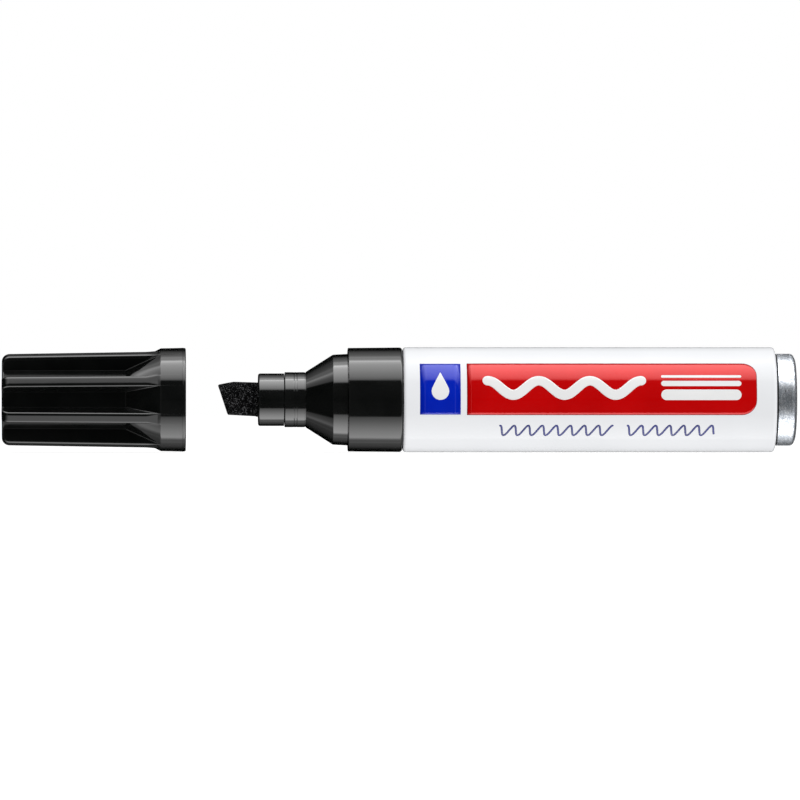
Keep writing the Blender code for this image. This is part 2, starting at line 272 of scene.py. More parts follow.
class Look(Nodes):
    """A Principled material."""

    def __init__(self, name, **values):
        self.material = bpy.data.materials.new(name)
        self.material.use_nodes = True
        super().__init__(self.material.node_tree)
        self.shader = self.tree.nodes["Principled BSDF"]
        for socket, value in values.items():
            self.shader.inputs[socket.replace("_", " ")].default_value = value
        self.place = self.node("ShaderNodeTexCoord").outputs["Object"]

    def scaled(self, x, y, z):
        """The object's coordinates, stretched along each axis."""
        mapping = self.node("ShaderNodeMapping")
        mapping.inputs["Scale"].default_value = (x, y, z)
        self.link(self.place, mapping.inputs["Vector"])
        return mapping.outputs["Vector"]

    def round_the_axis(self, along, around):
        """Coordinates along the axis and round it, each with its own scale."""
        apart = self.node("ShaderNodeSeparateXYZ")
        self.link(self.place, apart.inputs["Vector"])
        height = self.maths("SUBTRACT", apart.outputs["Z"], AXIS_Z)
        angle = self.maths("ARCTAN2", height, apart.outputs["Y"])
        joined = self.node("ShaderNodeCombineXYZ")
        self.link(self.maths("MULTIPLY", apart.outputs["X"], along), joined.inputs["X"])
        self.link(self.maths("MULTIPLY", angle, around), joined.inputs["Y"])
        return joined.outputs["Vector"]

    def noise(self, vector, scale, detail=4.0, roughness=0.55):
        made = self.node("ShaderNodeTexNoise")
        made.inputs["Scale"].default_value = scale
        made.inputs["Detail"].default_value = detail
        made.inputs["Roughness"].default_value = roughness
        self.link(vector, made.inputs["Vector"])
        return made.outputs["Fac"]

    def spread(self, value, low, high, to_low, to_high):
        """Maps low..high to to_low..to_high, and holds at the ends."""
        made = self.node("ShaderNodeMapRange", interpolation_type="SMOOTHSTEP")
        for socket, number in zip(list(made.inputs)[1:5], (low, high, to_low, to_high)):
            socket.default_value = number
        self.link(value, made.inputs["Value"])
        return made.outputs["Result"]

    def mix(self, share, first, second):
        """Mixes two colours, each a triple or another socket."""
        made = self.node("ShaderNodeMix", data_type="RGBA")
        self.link(share, made.inputs[0])
        for socket, value in zip((made.inputs[6], made.inputs[7]), (first, second)):
            if isinstance(value, tuple):
                socket.default_value = (*value, 1.0)
            else:
                self.link(value, socket)
        return made.outputs[2]

    def bump(self, height, distance, strength, below=None):
        made = self.node("ShaderNodeBump")
        made.inputs["Strength"].default_value = strength
        made.inputs["Distance"].default_value = distance * MM
        self.link(height, made.inputs["Height"])
        if below is not None:
            self.link(below, made.inputs["Normal"])
        return made.outputs["Normal"]

    def feed(self, **sockets):
        """Feeds the shader's sockets and returns the finished material."""
        for name, source in sockets.items():
            self.link(source, self.shader.inputs[name.replace("_", " ")])
        return self.material


def black_plastic(name, roughness, flow_scale, gloss=0.5):
    """Black polypropylene: faint flow waves, fine grain, hairline scratches and a few smudges."""
    look = Look(name, IOR=1.5, Specular_IOR_Level=gloss)
    smudge = look.noise(look.scaled(1, 1, 1), 140, 3)
    scratches = look.noise(look.round_the_axis(260, 9), 6.0, 6, 0.7)
    speck = look.noise(look.scaled(1, 1, 1), 5200, 2)
    smudged = look.spread(smudge, 0.35, 0.7, 0, 1)
    tone = look.mix(smudged, (0.0026, 0.003, 0.0028), (0.0044, 0.0048, 0.0046))
    tone = look.mix(look.spread(speck, 0.73, 0.8, 0, 0.4), tone, (0.02, 0.02, 0.02))
    worn = look.spread(scratches, 0.6, 0.78, 0, 0.07)
    rough = look.maths("ADD", look.spread(smudge, 0.3, 0.75, roughness, roughness + 0.04), worn)
    waves = look.bump(look.noise(look.scaled(1, 1, 1), flow_scale, 2), 0.02, 0.2)
    streaks = look.bump(look.noise(look.round_the_axis(90, 34), 1.0, 3), 0.006, 0.3, waves)
    grain = look.bump(look.noise(look.scaled(1, 1, 1), 3000, 3), 0.001, 0.3, streaks)
    return look.feed(Base_Color=tone, Roughness=rough, Normal=grain)


def white_lacquer():
    """White stoving lacquer: slight orange peel, faint tone changes, tiny specks and rubbed streaks."""
    look = Look("white_lacquer", IOR=1.45, Specular_IOR_Level=0.16)
    cloud = look.noise(look.scaled(1, 1, 1), 60, 4)
    speck = look.noise(look.scaled(1, 1, 1), 2600, 2)
    rubbed = look.noise(look.round_the_axis(40, 14), 5.0, 5, 0.65)
    tone = look.mix(look.spread(cloud, 0.3, 0.7, 0, 1), (0.785, 0.795, 0.815), (0.81, 0.82, 0.84))
    tone = look.mix(look.spread(speck, 0.76, 0.82, 0, 0.35), tone, (0.45, 0.44, 0.42))
    rough = look.spread(rubbed, 0.35, 0.75, 0.05, 0.12)
    peel = look.bump(look.noise(look.scaled(1, 1, 1), 900, 2), 0.0015, 0.35)
    return look.feed(Base_Color=tone, Roughness=rough, Normal=peel)


def bare_aluminium():
    """Drawn aluminium without lacquer: turned marks, a granular surface and dull patches."""
    look = Look("bare_aluminium", Metallic=0.9)
    marks = look.noise(look.round_the_axis(4200, 1.2), 1.0, 5, 0.6)
    grain = look.noise(look.scaled(1, 1, 1), 2700, 4, 0.75)
    patch = look.noise(look.scaled(1, 1, 1), 900, 4)
    tone = look.mix(look.spread(patch, 0.3, 0.7, 0, 1), (0.60, 0.63, 0.67), (0.80, 0.82, 0.85))
    tone = look.mix(look.spread(grain, 0.42, 0.58, 0, 0.85), tone, (0.26, 0.29, 0.33))
    turned_marks = look.spread(marks, 0.3, 0.7, 0, 0.1)
    rough = look.maths("ADD", look.spread(grain, 0.35, 0.65, 0.22, 0.42), turned_marks)
    lines = look.bump(marks, 0.01, 0.35)
    pits = look.bump(grain, 0.03, 0.6, lines)
    return look.feed(Base_Color=tone, Roughness=rough, Normal=pits)


def seam_painted_shade():
    """Painted shade on the cut edge of the lacquer: a dark band in the joint at the shoulder's foot, where
    the shadow falls.
    """
    look = Look("seam_painted_shade")
    seam_shade = look.noise(look.scaled(1, 1, 1), 1800, 4)
    tone = look.mix(look.spread(seam_shade, 0.3, 0.7, 0, 1), (0.012, 0.013, 0.015), (0.04, 0.04, 0.042))
    rough = look.spread(seam_shade, 0.3, 0.7, 0.6, 0.85)
    seam_relief = look.bump(seam_shade, 0.02, 0.5)
    return look.feed(Base_Color=tone, Roughness=rough, Normal=seam_relief)


def printed_ink(name, colour, deep, metallic=0.0):
    """Screen-printed ink: a thin even coat with a slight grain and a lively tone."""
    look = Look(name, IOR=1.5, Specular_IOR_Level=0.36, Metallic=metallic)
    grain = look.noise(look.scaled(1, 1, 1), 3400, 3)
    cloud = look.noise(look.scaled(1, 1, 1), 120, 3)
    tone = look.mix(look.spread(cloud, 0.3, 0.7, 0, 1), colour, deep)
    tone = look.mix(look.spread(grain, 0.62, 0.8, 0, 0.35), tone, deep)
    rough = look.spread(grain, 0.3, 0.75, 0.05, 0.09)
    coat = look.bump(grain, 0.0008, 0.3)
    return look.feed(Base_Color=tone, Roughness=rough, Normal=coat)


def inked_felt():
    """Pressed felt soaked with black ink: matted short fibres, with painted glints where some of them catch
    the light.
    """
    look = Look("inked_felt", Specular_IOR_Level=0.05)
    strands = look.noise(look.scaled(1, 1.4, 1.4), 4200, 4, 0.75)
    clumps = look.noise(look.scaled(1, 1, 1), 1500, 4, 0.7)
    raised = look.spread(clumps, 0.4, 0.55, 0, 1)
    # Painted glints: light specks in the base colour on single fibres, where they would catch the light.
    fibre_glint = look.maths("MULTIPLY", look.spread(strands, 0.53, 0.64, 0, 1), raised)
    clumped = look.spread(clumps, 0.35, 0.65, 0, 1)
    tone = look.mix(clumped, (0.0004, 0.0004, 0.0005), (0.0015, 0.0015, 0.0017))
    tone = look.mix(fibre_glint, tone, (0.15, 0.15, 0.156))
    rough = look.spread(clumps, 0.3, 0.7, 0.85, 1.0)
    matted = look.bump(strands, 0.06, 0.8)
    tufts = look.bump(clumps, 0.1, 0.6, matted)
    return look.feed(Base_Color=tone, Roughness=rough, Normal=tufts)


def soft_polyethylene():
    """Milky soft plastic with faint flow marks."""
    look = Look("soft_polyethylene", IOR=1.5, Subsurface_Weight=0.15, Subsurface_Scale=0.002)
    cloud = look.noise(look.round_the_axis(60, 3), 4.0, 4)
    tone = look.mix(look.spread(cloud, 0.3, 0.7, 0, 1), (0.56, 0.57, 0.56), (0.66, 0.66, 0.64))
    rough = look.spread(cloud, 0.3, 0.7, 0.32, 0.5)
    flow = look.bump(look.noise(look.scaled(1, 1, 1), 900, 3), 0.01, 0.3)
    return look.feed(Base_Color=tone, Roughness=rough, Normal=flow)


def inner_material(name, low, high, roughness, grain):
    """A plain procedural finish for a piece that is shut inside the barrel."""
    look = Look(name)
    cloud = look.noise(look.scaled(1, 1, 1), grain, 4)
    tone = look.mix(look.spread(cloud, 0.3, 0.7, 0, 1), low, high)
    rough = look.spread(cloud, 0.3, 0.7, roughness, roughness + 0.12)
    relief = look.bump(cloud, 0.05, 0.4)
    return look.feed(Base_Color=tone, Roughness=rough, Normal=relief)


# ---------------------------------------------------------------- barrel and its print


def make_barrel(lacquer, metal, seam_shade):
    """The can: lacquered up to its shoulder, with a seam in painted shade in front of the bare rear end."""
    inner = BARREL_RADIUS - BARREL_WALL
    rear_bore = REAR_RADIUS - BARREL_WALL
    dish_floor = BARREL_REAR - DISH_DEPTH
    seam_rear = BARREL_SHOULDER + SEAM_WIDTH
    seam_radius = REAR_RADIUS - SEAM_DEPTH
    corners = [
        (dish_floor, 0.01, 0),
        (dish_floor, DISH_RADIUS, 1.2),
        (BARREL_REAR, FOOT_RADIUS, 0.9),
        (BARREL_REAR, REAR_RADIUS - 1.1, 1.0),
        (BARREL_REAR - 0.5, REAR_RADIUS, REAR_BEND),
        (seam_rear, REAR_RADIUS, 0.08),
        (seam_rear - 0.05, seam_radius, 0.04),
        (BARREL_SHOULDER, seam_radius, 0.04),
        (BARREL_SHOULDER, BARREL_RADIUS, SHOULDER_BEND),
        (BARREL_FRONT, BARREL_RADIUS, LIP_BEND),
        (BARREL_FRONT, LIP_RADIUS, 0.2),
        (BARREL_FRONT + BARREL_WALL, LIP_RADIUS, 0.2),
        (BARREL_FRONT + BARREL_WALL, inner, LIP_BEND - BARREL_WALL),
        (BARREL_SHOULDER - BARREL_WALL, inner, SHOULDER_BEND - BARREL_WALL),
        (BARREL_SHOULDER - BARREL_WALL, rear_bore, 0.1),
        (dish_floor - BARREL_WALL, rear_bore, REAR_BEND - BARREL_WALL),
        (dish_floor - BARREL_WALL, 0.01, 0),
    ]
    piece = turned("barrel_can", COLLAR_X, corners, closed=False, steps=12)
    settle(piece, "marker", "barrel", "lacquered_metal", lacquer, metal, seam_shade)
    for face in piece.data.polygons:
        radius = math.hypot(face.center.y, face.center.z - AXIS_Z) / MM
        station = (face.center.x - COLLAR_X) / MM
        if station > seam_rear or (radius < inner + 0.05 and station > BARREL_FRONT + 1.5):
            face.material_index = 1
        # The seam's faces get the third material, a dark painted shade where the joint lies in shadow.
        if BARREL_SHOULDER - 0.02 < station < seam_rear and radius > rear_bore + 0.1:
            face.material_index = 2
    return piece


def printed(name, grid, look, layer=1):
    """A thin closed coat of ink on the barrel, through rows of (station, height round the barrel)."""
    radius = BARREL_RADIUS + layer * PRINT_THICKNESS
    rows, columns = len(grid), len(grid[0])
    verts = [place(COLLAR_X, s, radius, height / BARREL_RADIUS) for row in grid for s, height in row]
    faces = []
    for r in range(rows - 1):
        for c in range(columns - 1):
            first = r * columns + c
            faces.append((first, first + 1, first + columns + 1, first + columns))
    mesh = bpy.data.meshes.new(name)
    mesh.from_pydata(verts, [], faces)
    middle = mesh.polygons[len(faces) // 2]
    outwards = Vector((0, middle.center.y, middle.center.z - AXIS_Z))
    if middle.normal.dot(outwards) < 0:
        mesh.flip_normals()
    mesh.shade_smooth()
    piece = bpy.data.objects.new(name, mesh)
    bpy.context.scene.collection.objects.link(piece)
    coat = piece.modifiers.new("coat", "SOLIDIFY")
    coat.thickness = (layer + 0.5) * PRINT_THICKNESS * MM
    coat.offset = -1
    return settle(piece, "marker", None, "lacquered_metal", look)


def block(front, rear, bottom, top, corner=0.0, rounded_front=False):
    """The grid of a block whose rear corners, and front ones if asked, are rounded.

    A fully round end stops a hair short of a point, so that no face has its corners in one place.
    """
    stations = list(np.linspace(front, rear, max(3, int((rear - front) / PRINT_STEP))))
    ends = [(rear, -1)] + ([(front, 1)] if rounded_front else [])
    for end, inwards in ends if corner else []:
        stations += [end + inwards * corner * (1 - math.sin(a)) for a in np.linspace(0, math.pi / 2, 12)]
    grid = []
    for station in sorted(set(np.round(stations, 5))):
        to_end = min(abs(station - end) for end, _ in ends)
        cut = corner - math.sqrt(max(0, corner**2 - (corner - min(to_end, corner)) ** 2))
        cut = min(cut, (top - bottom) / 2 - 0.01)
        grid.append([(station, h) for h in np.linspace(bottom + cut, top - cut, 25)])
    return grid


def ribbon(path, width, rows=9):
    """The grid of a line of even width with round ends."""
    radius = width / 2
    headings = []
    for index in range(len(path)):
        ahead = path[min(index + 1, len(path) - 1)] - path[max(index - 1, 0)]
        headings.append(ahead.normalized())
    sections = [(point, heading, radius) for point, heading in zip(path, headings)]
    for turn in np.linspace(0, math.pi / 2, 8)[1:]:
        reach, half = radius * math.sin(turn), max(radius * math.cos(turn), 0.002)
        sections.insert(0, (path[0] - headings[0] * reach, headings[0], half))
        sections.append((path[-1] + headings[-1] * reach, headings[-1], half))
    grid = []
    for point, heading, half in sections:
        aside = Vector((-heading.y, heading.x)) * half
        grid.append([tuple(point + aside * k) for k in np.linspace(-1, 1, rows)])
    return grid


def wave(front, rear, middle, swing, period, lean=0.0):
    """The path of an even wave along the barrel, leaning forwards like a slanted hand."""
    points_per_period = 36
    path = []
    for s in np.linspace(front, rear, int((rear - front) / period * points_per_period)):
        lift = swing * math.cos((s - front) / period * 2 * math.pi)
        path.append(Vector((s + lean * lift, middle + lift)))
    return path


def ink_drop(station, middle, size):
    """The grid of a drop with its point up: a circle below, straight sides above."""
    point = 2.3 * size
    touch = size**2 / point
    half_width = math.sqrt(size**2 - touch**2)
    grid = []
    for part in np.linspace(-0.999, 0.999, 41):
        across = part * size
        round_height = math.sqrt(size**2 - across**2)
        straight = point - (point - touch) * abs(across) / half_width
        top = straight if abs(across) < half_width else round_height
        grid.append([(station + across, middle + h) for h in np.linspace(-round_height, top, 15)])
    return grid


def make_print(red, dark_red, blue, navy, white):
    """A blue block with a drop, a red panel with a wave and bars, and fine waves below it."""
    printed("print_block", block(BLOCK_FRONT, BLOCK_REAR, PRINT_BOTTOM, PRINT_TOP), blue)
    drop_station = (BLOCK_FRONT + BLOCK_REAR) / 2
    drop = ink_drop(drop_station, PRINT_MIDDLE - INK_DROP_BELOW_MIDDLE, INK_DROP_RADIUS)
    printed("print_drop", drop, white, 2)
    rim_ends = (PANEL_FRONT - PANEL_EDGE, PANEL_REAR + PANEL_EDGE)
    rim_sides = (PRINT_BOTTOM - PANEL_EDGE, PRINT_TOP + PANEL_EDGE)
    printed("print_panel_edge", block(*rim_ends, *rim_sides, PANEL_CORNER + PANEL_EDGE), dark_red)
    panel = block(PANEL_FRONT, PANEL_REAR, PRINT_BOTTOM, PRINT_TOP, PANEL_CORNER)
    printed("print_panel", panel, red, 2)
    path = wave(WAVE_FRONT, WAVE_REAR, PRINT_MIDDLE, WAVE_SWING, WAVE_PERIOD)
    printed("print_broad_wave", ribbon(path, WAVE_WIDTH), white, 3)
    for index, (above_middle, thickness) in enumerate(BARS):
        height, half = PRINT_MIDDLE + above_middle, thickness / 2
        bar = block(BARS_FRONT, BARS_REAR, height - half, height + half, half, True)
        printed(f"print_bar_{index + 1}", bar, white, 3)
    for index, (front, rear) in enumerate(FINE_LINES):
        path = wave(front, rear, FINE_HEIGHT, FINE_SWING, FINE_PERIOD, FINE_LEAN)
        printed(f"print_fine_wave_{index + 1}", ribbon(path, FINE_WIDTH, 4), navy)


# ---------------------------------------------------------------- front section, collar, sleeve, nib


def make_front_section(look):
    """The moulding from its spigot to the land, with two fine rings and a seam, then its bore."""
    bore = SHANK_RADIUS + 0.1
    seam_front, seam_depth = LAND_REAR - 0.14, 0.08
    step_rear, rear_bore = 2.0, SECTION_BORE - 0.2
    rings = []
    for station in LAND_RINGS:
        rings += [
            (station + 0.1, LAND_RADIUS, 0.03),
            (station, LAND_RADIUS - RING_DEPTH, 0.03),
            (station - 0.1, LAND_RADIUS, 0.03),
        ]
    corners = [
        (SPIGOT_REAR, SPIGOT_RADIUS, 0.3),
        (SPIGOT_FRONT, SPIGOT_RADIUS, 0.1),
        (SPIGOT_FRONT, SEAT_RADIUS, 0.1),
        (-0.1, SEAT_RADIUS, 0.05),
        (-0.1, NECK_RADIUS, 0.06),
        (CONE_REAR, CONE_RADIUS, 0.25),
        (LAND_REAR + 0.12, LAND_RADIUS + seam_depth, 0.03),
        (LAND_REAR + 0.06, LAND_RADIUS - seam_depth, 0.03),
        (seam_front + 0.04, LAND_RADIUS - seam_depth, 0.03),
        (seam_front, LAND_RADIUS, 0.03),
        *rings,
        (LAND_FRONT, LAND_RADIUS, 0.15),
        (LAND_FRONT, bore, 0.1),
        (-7.7, bore, 0.3),
        (-2.2, rear_bore, 0.3),
        (step_rear, rear_bore, 0.05),
        (step_rear, SECTION_BORE, 0.05),
        (SPIGOT_REAR, SECTION_BORE, 0.2),
    ]
    piece = turned("front_moulding", COLLAR_X, corners, longest=1.0)
    return settle(piece, "marker", "front_section", "section_plastic", look)


def make_collar(look):
    """The ring on which the cap's rim stops."""
    inner = SEAT_RADIUS + 0.1
    corners = [
        (COLLAR_LENGTH, COLLAR_REAR_RADIUS, 0.55),
        (0, COLLAR_FRONT_RADIUS, 0.14),
        (0, inner, 0.1),
        (COLLAR_LENGTH, inner, 0.1),
    ]
    piece = turned("collar_ring", COLLAR_X, corners, longest=1.0, steps=10)
    return settle(piece, "marker", "collar", "collar_plastic", look)


def slot_radius(angle, margin):
    """How far the nib slot reaches from the axis: a rectangle with a vent on each wide side."""
    across, up = abs(math.cos(angle)) + 1e-9, abs(math.sin(angle)) + 1e-9
    slot = min((SLOT_HALF_THICKNESS + margin) / across, (SLOT_HALF_HEIGHT + margin) / up)
    vent = min((VENT_REACH + margin) / across, (VENT_HALF_WIDTH + margin) / up)
    return max(slot, vent)


def make_nib_sleeve(look):
    """The tube round the nib: its head shows, its shank sits in the front section's nose."""
    angles = np.linspace(0, 2 * math.pi, AROUND * 2, endpoint=False)
    shoulder = LAND_FRONT - 0.1
    shell = [
        (SLEEVE_FRONT, SHANK_RADIUS, 0),
        (SLEEVE_FRONT, SLEEVE_RADIUS, 0.42),
        (shoulder, SLEEVE_RADIUS, 0.1),
        (shoulder, SHANK_RADIUS, 0.1),
        (SLEEVE_REAR, SHANK_RADIUS, 0.4),
        (SLEEVE_REAR, SHANK_RADIUS - 0.2, 0),
    ]
    rings = [circle(COLLAR_X, p.x, p.y, angles) for p in outline(shell, False, longest=1.0)]
    slot = [
        (SLEEVE_REAR, 0.1),
        (SLEEVE_REAR - 0.2, 0.0),
        (shoulder, 0.0),
        (SLEEVE_FRONT + 0.2, 0.0),
        (SLEEVE_FRONT, 0.12),
    ]
    for station, margin in slot:
        rings.append([place(COLLAR_X, station, slot_radius(a, margin), a) for a in angles])
    piece = solid("sleeve_tube", rings, closed=True)
    return settle(piece, "marker", "nib_sleeve", "sleeve_plastic", look)


def bar_section(half, tall, corner):
    """A rectangle with rounded corners as (across, up) points, denser on its wide faces."""
    corner_steps, edge_steps, face_steps = 6, 26, 54
    points = []
    for turn in range(4):
        centres = []
        for quarter in (turn, (turn + 1) % 4):
            across = half - corner if quarter in (0, 3) else corner - half
            up = tall - corner if quarter in (0, 1) else corner - tall
            centres.append(Vector((across, up)))
        start = turn * math.pi / 2
        for angle in np.linspace(start, start + math.pi / 2, corner_steps + 1):
            points.append(centres[0] + Vector((math.cos(angle), math.sin(angle))) * corner)
        ahead = centres[1] + (points[-1] - centres[0])
        steps = edge_steps if turn in (0, 2) else face_steps
        points += [points[-1].lerp(ahead, k / steps) for k in range(1, steps)]
    return points


def nose_rings(section):
    """The rings (depth, across, up) of the bar's front: its flat end, then its rounded edge."""
    half, tall = NIB_THICKNESS / 2, NIB_HALF_HEIGHT

    def inset(depth, pull, share=1.0):
        across_share, up_share = share * (1 - pull / half), share * (1 - pull / tall)
        return [(depth, across * across_share, up * up_share) for across, up in section]

    rings = [inset(0.0, NIB_ROUNDING, share) for share in (0.3, 0.55, 0.8)]
    for angle in np.linspace(0, math.pi / 2, 7):
        depth, pull = NIB_ROUNDING * (1 - math.cos(angle)), NIB_ROUNDING * (1 - math.sin(angle))
        rings.append(inset(depth, pull))
    return rings


def make_felt_nib(look):
    """A bar with rounded edges whose rings lean into the slanted writing edge at the front."""
    section = bar_section(NIB_THICKNESS / 2, NIB_HALF_HEIGHT, NIB_CORNER)
    straight_from, step = -20.0, 0.3
    reach = straight_from - NIB_TIP
    thinned, thin_reach = 0.28, 2.2
    rings = nose_rings(section)
    for depth in np.linspace(NIB_ROUNDING + 0.1, reach, 44):
        rings.append([(depth, across, up) for across, up in section])
    nose = []
    for ring in rings:
        shaped = []
        for depth, across, up in ring:
            lean = (NIB_HEEL - NIB_TIP) * (NIB_HALF_HEIGHT - up) / (2 * NIB_HALF_HEIGHT)
            station = NIB_TIP + depth + lean * max(0.0, 1 - depth / reach)
            thin = 1 - thinned * max(0.0, 1 - depth / thin_reach) ** 1.5
            shaped.append(nib_point(station, across * thin, up))
        nose.append(shaped)
    for station in np.arange(straight_from + step, SLEEVE_FRONT, step):
        nose.append([nib_point(station, across, up) for across, up in section])
    for station in (-16.0, -10.0, 0.0, 6.0, 11.9, 12.1):
        nose.append([nib_point(station, across, up) for across, up in section])
    for station, share in ((13.0, 0.72), (NIB_REAR, 0.4)):
        nose.append([nib_point(station, across, up * share) for across, up in section])
    piece = solid("nib_bar", nose)
    fibres = bpy.data.textures.new("felt_fibres", "CLOUDS")
    fibres.noise_scale = 0.00022
    fibres.noise_depth = 2
    fuzz = piece.modifiers.new("matted_surface", "DISPLACE")
    fuzz.texture = fibres
    fuzz.texture_coords = "LOCAL"
    fuzz.strength = 0.00009
    fuzz.mid_level = 0.5
    return settle(piece, "marker", "felt_nib", "inked_felt", look)


def nib_point(station, across, up):
    """Bends the bar's top and bottom to the worn outline of the nib, in front of the sleeve."""
    tip_top, crest, root_top = 2.98, 3.58, 3.44
    tip_bottom, root_bottom = 3.02, 3.32
    drop_length, wear_length = 3.2, 5.2
    worn_from, bent_from = SLEEVE_FRONT - 0.4, NIB_CREST - 0.1
    if station < bent_from:
        top = crest - (crest - tip_top) * min(1.0, (bent_from - station) / drop_length) ** 1.1
    else:
        rise = (worn_from - station) / (worn_from - bent_from)
        top = root_top + (crest - root_top) * max(0.0, min(1.0, rise))
    wear = max(0.0, min(1.0, (worn_from - station) / wear_length))
    bottom = root_bottom - (root_bottom - tip_bottom) * wear
    if station > worn_from:
        top = bottom = NIB_HALF_HEIGHT
    height = up / NIB_HALF_HEIGHT * (top if up > 0 else bottom)
    return (COLLAR_X + station * MM, across * MM, AXIS_Z + height * MM)


# ---------------------------------------------------------------- cap


def bent(start, end, radius, share, steps=8):
    """Points from start to end, where share bends the straight line to a circle round the axis."""
    angles = [math.atan2(point.x, point.y) for point in (start, end)]
    points = []
    for part in np.linspace(0, 1, steps + 1):
        angle = angles[0] + (angles[1] - angles[0]) * part
        on_circle = Vector((math.sin(angle), math.cos(angle))) * radius
        points.append(start.lerp(end, part).lerp(on_circle, share))
    return points


def groove_section(floor, radius, floor_bend, top_bend):
    """Half a groove and half a rib, from the groove's middle to the rib's, as a dense outline.

    The groove's sides run parallel to the ribs' middle planes. Its floor and the rib's top are flat,
    and the bends, from 0 to 1, turn them into arcs round the axis.
    """
    half_pitch = math.pi / RIB_COUNT
    start = Vector((0, floor))
    flat_foot = Vector((floor * math.tan(half_pitch) - RIB_HALF_THICKNESS / math.cos(half_pitch), floor))
    foot_angle = half_pitch - math.asin(RIB_HALF_THICKNESS / floor)
    round_foot = Vector((math.sin(foot_angle), math.cos(foot_angle))) * floor
    foot = flat_foot.lerp(round_foot, floor_bend)
    rib_angle = half_pitch - math.asin(RIB_HALF_THICKNESS / radius)
    top_corner = Vector((math.sin(rib_angle), math.cos(rib_angle))) * radius
    middle_radius = radius * math.cos(half_pitch - rib_angle)
    middle_radius += (radius - middle_radius) * top_bend
    rib_middle = Vector((math.sin(half_pitch), math.cos(half_pitch))) * middle_radius
    points = bent(start, foot, floor, floor_bend)[:-1]
    points += fillet(points[-1], foot, top_corner, GROOVE_EDGE, 8)
    points += fillet(foot, top_corner, rib_middle, RIB_EDGE * (1 - top_bend), 14)
    return points[:-1] + bent(points[-1], rib_middle, radius, top_bend)


def resampled(points, count):
    """The outline with a fixed number of points, closer together where it turns."""
    turn_weight, tiny = 1.6, 1e-6
    weights = [0.0]
    for index in range(1, len(points)):
        behind = points[index] - points[index - 1]
        ahead = points[min(index + 1, len(points) - 1)] - points[index]
        turn = behind.angle(ahead) if min(behind.length, ahead.length) > tiny else 0.0
        weights.append(weights[-1] + behind.length + turn_weight * turn)
    targets = np.linspace(0, weights[-1], count)
    across = np.interp(targets, weights, [p.x for p in points])
    up = np.interp(targets, weights, [p.y for p in points])
    return list(zip(across, up))


def cap_ring(base_x, station, floor, radius, floor_bend, top_bend, count=40):
    """One ring of the ribbed cap, and the angles of its points."""
    half = resampled(groove_section(floor, radius, floor_bend, top_bend), count + 1)
    ring, angles = [], []
    for groove in range(RIB_COUNT):
        turn = groove * 2 * math.pi / RIB_COUNT
        whole = [(-a, h) for a, h in half[:0:-1]] + half[:-1]
        for across, up in whole:
            angle = turn + math.atan2(across, up)
            angles.append(angle)
            ring.append(place(base_x, station, math.hypot(across, up), angle))
    return ring, angles


def rounded_end(depth, edge):
    """How much a surface drops at this depth from an end that is rounded by edge."""
    inside = edge - min(depth, edge)
    return edge - math.sqrt(edge**2 - inside**2)


def height_along(corners):
    """The stations of a rounded outline (station, height, fillet), and its height as a function."""
    points = outline(corners, False, longest=4.0, support=0.04, steps=4)
    stations = [p.x for p in points]
    heights = [p.y for p in points]
    return stations, lambda station: float(np.interp(station, stations, heights))


def shade_grooves(piece, floor_at, rib_at):
    """Puts the second material, a low-gloss copy of the black that paints shade into the grooves, on their
    walls and on their floors in front of the ramps.
    """
    half_pitch = math.pi / RIB_COUNT
    for face in piece.data.polygons:
        station = (face.center.x - RIM_X) / MM
        to_camera, up = -face.center.y / MM, (face.center.z - AXIS_Z) / MM
        radius = math.hypot(to_camera, up)
        off_middle = (math.atan2(up, to_camera) + half_pitch) % (2 * half_pitch) - half_pitch
        off_rib = radius * math.sin(half_pitch - abs(off_middle))
        above_floor = min(radius, radius * math.cos(off_middle) + 0.02) - floor_at(station)
        beside_rib = off_rib > RIB_HALF_THICKNESS - 0.03
        below_top = CORE_RADIUS - 0.2 < radius < rib_at(station) - 0.2
        on_ramp = station > RAMP_FRONT and above_floor < 0.06
        between_ends = 0.3 - CAP_LENGTH < station < RIM_FRONT
        if beside_rib and below_top and between_ends and not on_ramp:
            face.material_index = 1


def cap_end(first_ring):
    """The rings of the closed end's flat face, with a small gate mark in its middle."""
    mark_depth, mark_share = 0.12, 0.125
    centre = np.array((RIM_X - CAP_LENGTH * MM, 0.0, AXIS_Z))
    ends = []
    for share in (0.02, 0.08, 0.12, 0.13, 0.4, 0.7, 0.9, 0.97):
        flat = centre + (np.array(first_ring) - centre) * share
        if share < mark_share:
            flat[:, 0] += mark_depth * MM
        ends.append([tuple(point) for point in flat])
    return ends


def cap_mouth():
    """The outline of the open rim's edge with its fine bead, then of the bore."""
    bead = RIM_RADIUS + BEAD_HEIGHT
    bore_end = CAP_END_WALL - CAP_LENGTH
    return [
        (BEAD_FRONT, RIM_RADIUS, 0),
        (-0.72, RIM_RADIUS, 0.05),
        (-0.66, bead, 0.04),
        (-0.56, bead, 0.04),
        (-0.5, RIM_RADIUS - 0.01, 0.04),
        (0, RIM_RADIUS - 0.03, 0.42),
        (0, MOUTH_RADIUS, 0.25),
        (MOUTH_FRONT, MOUTH_RADIUS, 0.3),
        (CAP_BORE_REAR, CAP_BORE_RADIUS, 0.3),
        (bore_end, CAP_BORE_RADIUS, 0.4),
        (bore_end, 0.4, 0),
    ]


